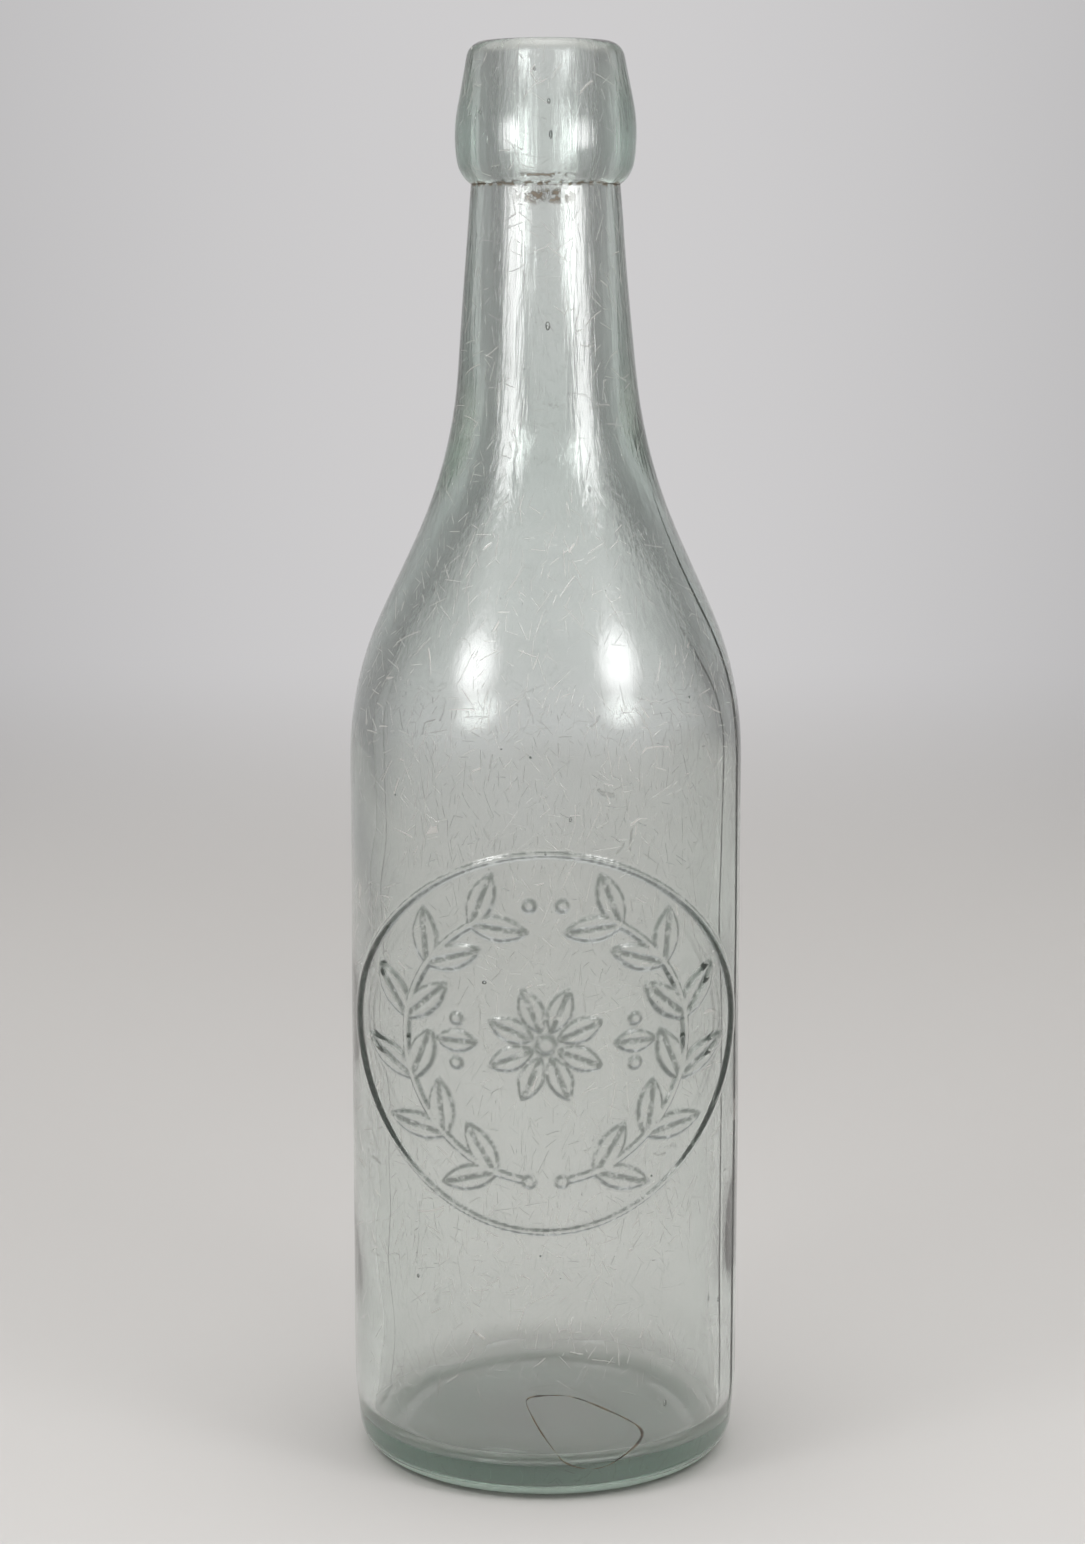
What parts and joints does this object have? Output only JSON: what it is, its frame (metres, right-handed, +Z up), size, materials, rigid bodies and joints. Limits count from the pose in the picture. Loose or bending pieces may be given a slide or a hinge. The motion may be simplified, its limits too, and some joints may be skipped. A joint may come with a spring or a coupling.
{
  "type": "glass bottle",
  "caption": "Slim round soda bottle in pale aqua glass with sloping shoulders, a tapering neck, a raised ring on the body and a heavy applied lip.",
  "frame": {"origin": "centre of the base, on the surface that the bottle stands on", "axes": "+Z up along the bottle's axis; -Y out of the slug plate, the round panel on the front"},
  "size_m": [0.065, 0.0655, 0.2342],
  "materials": {
    "body_glass": "pale aqua, worn and a little hazy",
    "lip_glass": "pale aqua, fire polished"
  },
  "bodies": {
    "root": {"blown_body": "body_glass", "applied_lip": "lip_glass"}
  },
  "joints": []
}
